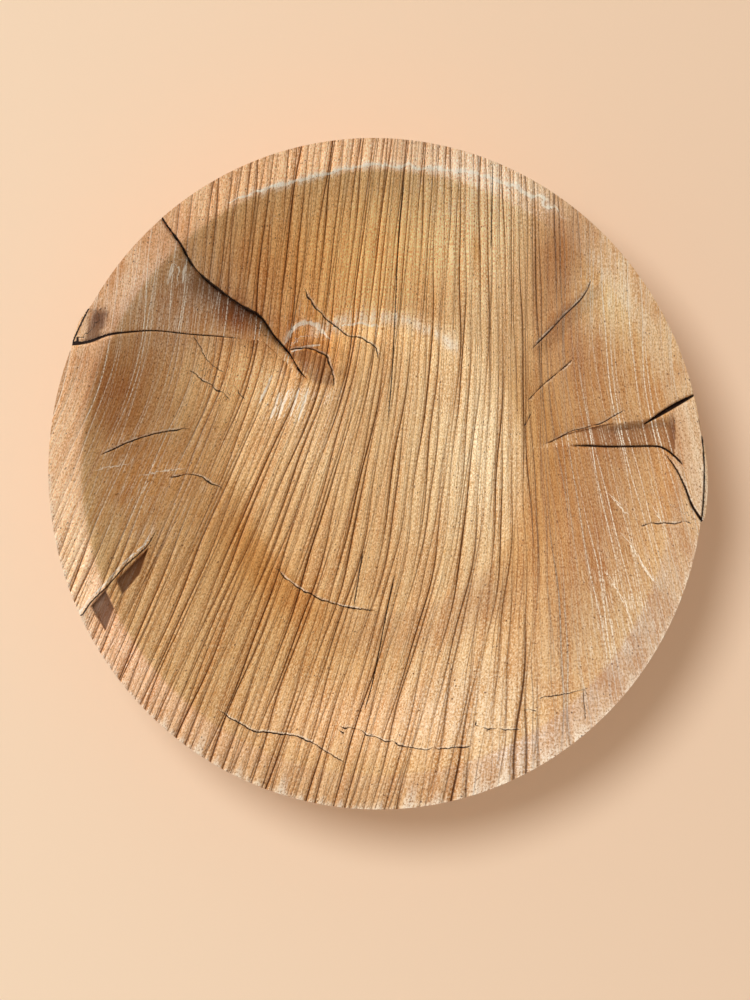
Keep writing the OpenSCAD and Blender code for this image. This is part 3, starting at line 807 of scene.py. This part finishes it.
PALE = linear(252, 222, 174)
RIDGE = linear(234, 192, 136)
MIDDLE = linear(214, 162, 98)
WARM = linear(190, 122, 54)
VALLEY = linear(94, 48, 12)
CRACK_SHADE = linear(34, 14, 5)
SPECK = linear(84, 46, 22)
SHADE_BROWN = linear(96, 50, 26)
HOLE_SHADE = linear(88, 48, 26)
GLINT = linear(255, 249, 234)
SPECULAR = 0.28


def leaf_material():
    """Dried leaf sheath: fibres, ribs, specks, stains, painted shade and highlights, and a patchy satin skin."""
    leaf = Leaf("leaf")
    tree, shader = leaf.tree, leaf.shader
    coordinates = tree.nodes.new("ShaderNodeUVMap")
    coordinates.uv_map = "Fibres"
    split = tree.nodes.new("ShaderNodeSeparateXYZ")
    tree.links.new(coordinates.outputs[0], split.inputs[0])
    u, v = Expr(tree, split.outputs[0]), Expr(tree, split.outputs[1])
    dark, ribs, lip, shade, sheen, painted_highlight = [
        leaf.attribute(name) for name in ("Dark", "Ribs", "Lip", "Shade", "Sheen", "PaintedHighlight")]
    tint = tree.nodes.new("ShaderNodeAttribute")
    tint.attribute_name = "Tint"
    tint = Expr(tree, tint.outputs["Color"])

    line, trough = grooves(u, v, RibNodes, RIB_GROOVES, 0.13, 0.62)
    thread_line = grooves(u, v, RibNodes, THREAD_GROOVES, 0.10, 0.34)[0]
    fine = leaf.noise(leaf.vector(u * 3.2, v * 0.16), 1.0, 3.0, 0.62)
    hairs = leaf.noise(leaf.vector(u * 6.5, v * 0.5, 5.0), 1.0, 2.0, 0.6)
    streaks = leaf.noise(leaf.vector(u * 0.5, v * 0.016, 9.0), 1.0, 3.0, 0.55)
    grit = leaf.noise(leaf.vector(u * 2.8, v * 1.5, 3.0), 1.0, 3.0, 0.7)
    clouds = leaf.noise(leaf.vector(u * 0.09, v * 0.06, 7.0), 1.0, 3.0, 0.6)
    marks = leaf.specks(leaf.vector(u * 0.85, v * 0.62), 0.12, 0.6)
    ragged = (grit - 0.5) * 0.5
    cut = leaf.cut("Edge", ragged).math("MAXIMUM", leaf.cut("Crack", ragged))

    tone = leaf.mix(fine.band(0.34, 0.66), MIDDLE, RIDGE)
    tone = leaf.mix((trough * ribs * 0.75).clip(), tone, WARM)
    tone = leaf.mix(streaks.band(0.45, 0.7, 0.0, 0.6), tone, WARM)
    tone = leaf.mix(clouds.band(0.45, 0.75, 0.0, 0.45), tone, WARM)
    tone = leaf.mix(hairs.band(0.50, 0.68, 0.0, 0.55), tone, PALE)
    tone = leaf.mix(grit.band(0.50, 0.64, 0.0, 0.7), tone, PALE)
    tone = leaf.mix(grit.band(0.48, 0.34, 0.0, 0.55), tone, VALLEY)
    bare = ribs.flip()
    tone = leaf.mix((clouds.band(0.5, 0.72) * bare * 0.6).clip(), tone, WARM)
    tone = leaf.mix((thread_line * ribs * 0.8).clip(), tone, VALLEY)
    tone = leaf.mix((thread_line * bare * 0.7).clip(), tone, PALE)
    tone = leaf.mix((line * ribs * 1.2).clip(), tone, VALLEY)
    tone = leaf.mix((line * bare * 1.1).clip(), tone, PALE)
    tone = leaf.mix(1.0, tone, tint, "MULTIPLY")
    # Painted shade under and inside the folds and in the pocket.
    tone = leaf.mix((shade * 0.95).clip(), tone, SHADE_BROWN)
    crest = (trough * -1.7 + 1.0).clip() * grit.band(0.36, 0.52)
    highlight_streaks = fine.band(0.56, 0.66) * grit.band(0.38, 0.52)
    lit = leaf.lit_side("Crack", ragged) * grit.band(0.36, 0.54)
    shine = leaf.cut("Glint", ragged * 0.7) * hairs.band(0.37, 0.52)
    threads = (line * 1.2 + thread_line * 0.35) * bare * 1.5 * grit.band(0.42, 0.54) * (lip * -0.6 + 1.0)
    # Painted highlights on crests, on the lit side of cracks, along glint lines and in glossy streaks, with pale
    # threads along the fibres.
    bright = painted_highlight * crest * 0.85
    for other in (threads, sheen * highlight_streaks * 0.8, lit * 0.55, shine * 0.9):
        bright = bright.math("MAXIMUM", other)
    tone = leaf.mix(bright, tone, GLINT)
    tone = leaf.mix(marks * 0.8, tone, SPECK)
    # Painted shade in the small fold's two gaps; the large fold's corner is only darker.
    tone = leaf.mix((dark * 0.85).clip(), tone, HOLE_SHADE)
    # Painted shade along cracks, grooves and the gaps under the folds' edges, over real slots.
    tone = leaf.mix(cut, tone, CRACK_SHADE)
    tree.links.new(tone.socket, shader.inputs["Base Color"])

    gloss = leaf.noise(leaf.vector(u * 1.1, v * 0.10, 2.0), 1.0, 3.0, 0.6)
    rough = gloss.band(0.35, 0.7, 0.34, 0.60) + lip * 0.10 - (sheen + painted_highlight).clip() * 0.14
    tree.links.new(rough.socket, shader.inputs["Roughness"])
    shader.inputs["Specular IOR Level"].default_value = SPECULAR

    skin = fine * 0.22 + grit * 0.22 - (line + trough * 0.5) * (ribs - 0.25) * 0.62
    normal = leaf.bump(skin, 0.001, 1.0)
    tree.links.new(normal.socket, shader.inputs["Normal"])
    return leaf.material


# Soft patches of colour, partly the leaf's own tone and partly painted light and shade: middle and half widths
# in mm, turn in degrees, and the share of each colour.
PATCHES = [
    # Partly the leaf's paler skin and partly painted sheen.
    ("pale right of the middle", (19, 18), (17, 60), 0, (1.18, 1.36, 1.64)),
    ("pale right of the floor", (32, 2), (9, 22), 0, (1.26, 1.48, 1.80)),
    ("pale streak at the far right", (34, 68), (13, 24), 0, (1.44, 1.66, 2.00)),
    # Painted light on the far wall.
    ("far wall", (2, 60), (22, 20), 0, (1.72, 1.80, 1.66)),
    ("far left wall", (-28, 58), (20, 18), 0, (1.06, 0.90, 0.68)),
    # Painted highlight along the floor's far edge.
    ("floor's far edge", (-8, 43), (16, 8), 0, (1.22, 1.28, 1.36)),
    ("brown band at the right", (54, -2), (9, 30), 0, (0.94, 0.86, 0.74)),
    ("right wall", (62, -6), (17, 38), 0, (0.62, 0.54, 0.52)),
    ("brown at the far right of the lip", (50, 61), (8, 14), -20, (0.68, 0.50, 0.38)),
    ("upper right wall", (56, 36), (10, 16), 20, (0.80, 0.66, 0.58)),
    # Partly the leaf's paler skin and partly painted sheen.
    ("whitish upper right", (62, 44), (8, 9), 0, (1.24, 1.50, 1.80)),
    # Painted shade on the left wall.
    ("left wall", (-70, 22), (11, 20), 0, (0.62, 0.43, 0.28)),
    ("pale rise left of the floor", (-39, 28), (12, 12), 0, (1.48, 1.54, 1.62)),
    ("left of the floor", (-18, 10), (9, 14), 0, (1.20, 1.34, 1.58)),
    ("pale left edge of the floor", (-38, 4), (8, 11), 0, (1.28, 1.36, 1.46)),
    ("ribs below the pocket", (-28, 28), (8, 8), 0, (1.14, 1.20, 1.30)),
    ("brown on the near right wall", (52, -42), (10, 18), 0, (0.84, 0.80, 0.78)),
    ("warm beyond the floor's far edge", (17, 48), (8, 9), 0, (0.84, 0.74, 0.66)),
    ("warm lower left of the floor", (-33, -26), (20, 10), -45, (0.96, 0.86, 0.70)),
    ("shadowed lower right of the floor", (31, -34), (10, 8), 45, (0.82, 0.80, 0.80)),
    # Painted shade in the pocket.
    ("pocket", (-20, 35), (12, 7), -30, (0.84, 0.66, 0.48)),
    ("warm by the pocket", (-17, 38), (9, 9), 0, (1.06, 0.96, 0.76)),
    # Painted shade in the right fold's hollow.
    ("right fold's hollow", (70.5, 9), (7, 4), 0, (0.70, 0.58, 0.46)),
    ("folded triangle", (-54, 46), (17, 12), 20, (0.84, 0.84, 1.04)),
    ("near right wall", (32, -62), (24, 18), 0, (1.00, 1.16, 1.50)),
    ("near wall", (-8, -68), (30, 11), 0, (1.28, 1.33, 1.60)),
    ("lower right wall", (66, -42), (16, 18), 0, (0.92, 1.00, 1.14)),
    # Painted shade under the large fold's free edge.
    ("dark under the large fold", (-38.4, 43.0), (9, 5), -36, (0.42, 0.21, 0.11)),
    ("dark corner of the large fold", (-75.4, 42.2), (3, 3), 0, (0.50, 0.38, 0.32)),
    ("small stain", (27.4, 61), (1.3, 5), 0, (0.76, 0.58, 0.38)),
    # Painted light on the lower left wall.
    ("lower left wall", (-62, -42), (16, 20), 0, (1.18, 1.20, 1.27)),
    ("warm left wall", (-62, 0), (14, 10), 0, (0.96, 0.80, 0.62)),
    ("bridging lip piece", (81, 8), (5, 11), 0, (0.86, 0.66, 0.46)),
    ("lip above the large fold", (-60, 64), (9, 7), 0, (0.86, 0.72, 0.62)),
    ("far right lip", (66, 58), (7, 12), 45, (1.10, 1.14, 1.20)),
    ("near right lip", (38, -78), (9, 6), 0, (1.08, 1.18, 1.36)),
    ("far left lip", (-82, -24), (6, 18), 0, (1.10, 1.20, 1.24)),
]
# Where the skin is glossy and carries painted highlight streaks: middle and half widths in mm.
SHEEN = [
    ("floor's far edge", (-8, 42), (22, 7)),
    ("ribs below the pocket", (-20, 22), (14, 10)),
    ("far lip", (22, 80), (24, 12)),
    ("folded triangle", (-55, 46), (16, 10)),
    ("whitish upper right", (63, 50), (10, 16)),
    ("lower right wall", (70, -36), (14, 20)),
    ("left wall", (-62, -2), (18, 16)),
]
# Bands of painted shade on the wall just outside the floor, where it bends up: toward, half width in degrees,
# how far up the wall, colour share.
FLOOR_EDGE_SHADE = [
    (-4, 52, 0.30, (0.84, 0.77, 0.66)),
    (-75, 45, 0.30, (0.87, 0.86, 0.90)),
    (-140, 40, 0.24, (0.94, 0.85, 0.72)),
]
LIP_TINT_LEFT, LIP_TINT_RIGHT, LIP_TINT_NEAR = (1.40, 1.44, 1.80), (1.00, 1.06, 1.25), (0.95, 0.93, 1.00)


def paint_masks(mesh, x, y, angle, reach):
    """Stores the leaf's broad colour with its painted light and shade, its lip and where its skin is glossy."""
    tint = np.ones((len(x), 4))
    for _, (px, py), (hx, hy), turn, colour in PATCHES:
        c, s = math.cos(math.radians(turn)), math.sin(math.radians(turn))
        a, b = (x - px) * c + (y - py) * s, (y - py) * c - (x - px) * s
        share = bell(np.hypot(a / hx, b / hy), 1.0)[:, None]
        tint[:, :3] *= 1 - share * (1 - np.array(colour))
    lip = step01((reach * WALL_W + FLOOR_R - LIP_R) / 1.5 + 0.5)
    for toward, colour in ((150, LIP_TINT_LEFT), (10, LIP_TINT_RIGHT), (270, LIP_TINT_NEAR)):
        away = np.abs((angle - toward + 180) % 360 - 180)
        share = (lip * step01((105 - away) / 60))[:, None]
        tint[:, :3] *= 1 - share * (1 - np.array(colour))
    for toward, half, up, colour in FLOOR_EDGE_SHADE:
        away = np.abs((angle - toward + 180) % 360 - 180)
        share = step01(reach / 0.05 + 0.5) * step01((up - reach) / 0.16) * step01((half - away) / 24)
        tint[:, :3] *= 1 - share[:, None] * (1 - np.array(colour))
    layer = mesh.attributes.new("Tint", "FLOAT_COLOR", "POINT")
    layer.data.foreach_set("color", tint.astype(np.float32).ravel())
    sheen = np.zeros(len(x))
    for _, (px, py), (hx, hy) in SHEEN:
        sheen = np.maximum(sheen, bell(np.hypot((x - px) / hx, (y - py) / hy), 1.0))
    for name, values in (("Lip", lip), ("Sheen", sheen)):
        layer = mesh.attributes.new(name, "FLOAT", "POINT")
        layer.data.foreach_set("value", values.astype(np.float32))


def make_bowl():
    piece = bpy.data.objects.new("leaf_bowl", shell_mesh("leaf_bowl"))
    bpy.context.collection.objects.link(piece)
    thin_out(piece, TRIANGLES)
    x, y, angle, reach = paint_shell(piece)
    paint_masks(piece.data, x, y, angle, reach)
    piece.data.materials.append(leaf_material())
    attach(piece, "root")
    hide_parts("bowl")
    return piece


# The stage: a wide pale floor, lighter on its left.
FLOOR_SIZE = 6.0
FLOOR_LEFT, FLOOR_RIGHT = linear(245, 219, 192), linear(235, 206, 179)
PHOTO_W, PHOTO_H = 750, 1000
RIM_PX = 331.7
RIM_CENTRE_PX = (376, 473.7)
PX = RIM_R * MM / RIM_PX


def make_floor():
    mesh = bpy.data.meshes.new("floor")
    h = FLOOR_SIZE / 2
    mesh.from_pydata([(-h, -h, 0), (h, -h, 0), (h, h, 0), (-h, h, 0)], [], [(0, 1, 2, 3)])
    floor = bpy.data.objects.new("floor", mesh)
    floor.location.z = -0.0001
    bpy.context.collection.objects.link(floor)
    material = bpy.data.materials.new("floor")
    material.use_nodes = True
    tree = material.node_tree
    shader = tree.nodes["Principled BSDF"]
    where = tree.nodes.new("ShaderNodeNewGeometry")
    split = tree.nodes.new("ShaderNodeSeparateXYZ")
    tree.links.new(where.outputs["Position"], split.inputs[0])
    across = Expr(tree, split.outputs[0]).math("MULTIPLY_ADD", 1 / (PHOTO_W * PX), 0.5, clamp=True)
    blend = tree.nodes.new("ShaderNodeMix")
    blend.data_type = "RGBA"
    tree.links.new(across.socket, blend.inputs[0])
    blend.inputs[6].default_value, blend.inputs[7].default_value = FLOOR_LEFT, FLOOR_RIGHT
    tree.links.new(blend.outputs[2], shader.inputs["Base Color"])
    shader.inputs["Roughness"].default_value = 0.9
    shader.inputs["Specular IOR Level"].default_value = 0.1
    mesh.materials.append(material)


# Lights: name, bearing, height, strength, breadth, what the light does, its colour. Angles in degrees.
PLAIN, BOUNCED = (1.0, 1.05, 1.08), (1.0, 0.88, 0.74)
LIGHTS = [
    ("key", 136, 68, 1.62, 20, "all", PLAIN),
    ("side", 140, 24, 1.3, 10, "no shadow", BOUNCED),
    ("near gloss", 266, 34, 1.6, 16, "gloss", PLAIN),
]
WORLD_COLOUR, WORLD_STRENGTH = (1.0, 0.88, 0.74, 1.0), 0.34


def make_lights():
    for name, bearing, height, strength, breadth, kind, colour in LIGHTS:
        light = bpy.data.lights.new(name, "SUN")
        light.energy, light.angle, light.color = strength, math.radians(breadth), colour
        light.use_shadow = kind != "no shadow"
        lamp = bpy.data.objects.new(name, light)
        lamp.visible_diffuse = kind != "gloss"
        b, h = math.radians(bearing), math.radians(height)
        towards = Vector((math.cos(b) * math.cos(h), math.sin(b) * math.cos(h), math.sin(h)))
        lamp.rotation_euler = towards.to_track_quat("Z", "Y").to_euler()
        bpy.context.collection.objects.link(lamp)
    world = bpy.data.worlds.new("world")
    world.use_nodes = True
    back = world.node_tree.nodes["Background"]
    back.inputs["Color"].default_value = WORLD_COLOUR
    back.inputs["Strength"].default_value = WORLD_STRENGTH
    bpy.context.scene.world = world


CAMERA_HEIGHT = 1.9
SENSOR = 36.0


def make_camera():
    """Looks straight down, with the rim where the photograph has it."""
    rim_z = HEIGHT * MM
    camera = bpy.data.cameras.new("camera")
    camera.sensor_width = SENSOR
    camera.lens = SENSOR * CAMERA_HEIGHT / (PHOTO_H * PX)
    holder = bpy.data.objects.new("camera", camera)
    holder.location = (-(RIM_CENTRE_PX[0] - PHOTO_W / 2) * PX, (RIM_CENTRE_PX[1] - PHOTO_H / 2) * PX,
                       rim_z + CAMERA_HEIGHT)
    bpy.context.collection.objects.link(holder)
    bpy.context.scene.camera = holder


make_camera()
make_bowl()
make_floor()
make_lights()
bpy.context.scene.view_settings.view_transform = "Standard"
